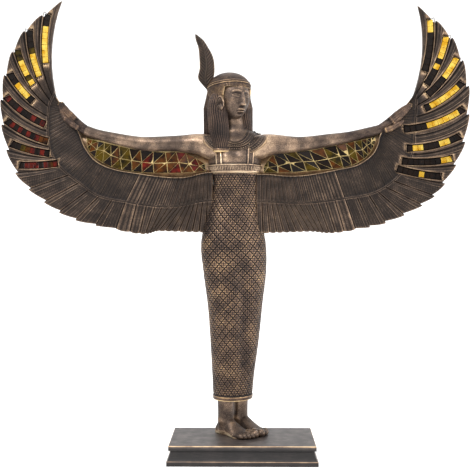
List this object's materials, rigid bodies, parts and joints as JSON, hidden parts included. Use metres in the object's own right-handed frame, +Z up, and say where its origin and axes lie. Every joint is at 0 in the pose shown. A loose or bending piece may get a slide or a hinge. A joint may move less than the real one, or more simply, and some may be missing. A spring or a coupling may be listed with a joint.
{
  "type": "winged goddess statue",
  "caption": "Winged Egyptian goddess statue: arms spread along upswept wings inlaid with mirror-glass tiles, long dress, tall head feather, rectangular plinth.",
  "frame": {"origin": "middle of the plinth's underside", "axes": "+Z up, +X towards the viewer's right along the wings, -Y towards the viewer, the side the statue faces"},
  "size_m": [0.4101, 0.066, 0.4003],
  "materials": {
    "aged_bronze": "bronze-filled resin with a dark patina in the hollows and rubbed warm highlights",
    "dark_bronze": "dark bronze-filled resin, finely brushed on top, rubbed along the lips",
    "gold_glass": "square mirror-backed glass tiles, mostly gold",
    "dark_glass": "square mirror-backed glass tiles, mostly dark brown and red",
    "amber_glass": "triangular mirror-backed glass tiles in olive gold and amber with pale grout"
  },
  "bodies": {
    "root": {"figure": "aged_bronze", "plinth": "dark_bronze", "tile_strip_left_1": "gold_glass", "tile_strip_left_2": "gold_glass", "tile_strip_left_3": "gold_glass", "tile_strip_left_4": "gold_glass", "tile_strip_left_5": "dark_glass", "tile_strip_left_6": "dark_glass", "tile_strip_left_7": "dark_glass", "tile_strip_left_8": "dark_glass", "tile_strip_right_1": "dark_glass", "tile_strip_right_2": "gold_glass", "tile_strip_right_3": "gold_glass", "tile_strip_right_4": "gold_glass", "tile_strip_right_5": "gold_glass", "tile_strip_right_6": "dark_glass", "tile_strip_right_7": "dark_glass", "tile_strip_right_8": "dark_glass", "mosaic_panel_left": "amber_glass", "mosaic_panel_right": "amber_glass"}
  },
  "joints": []
}
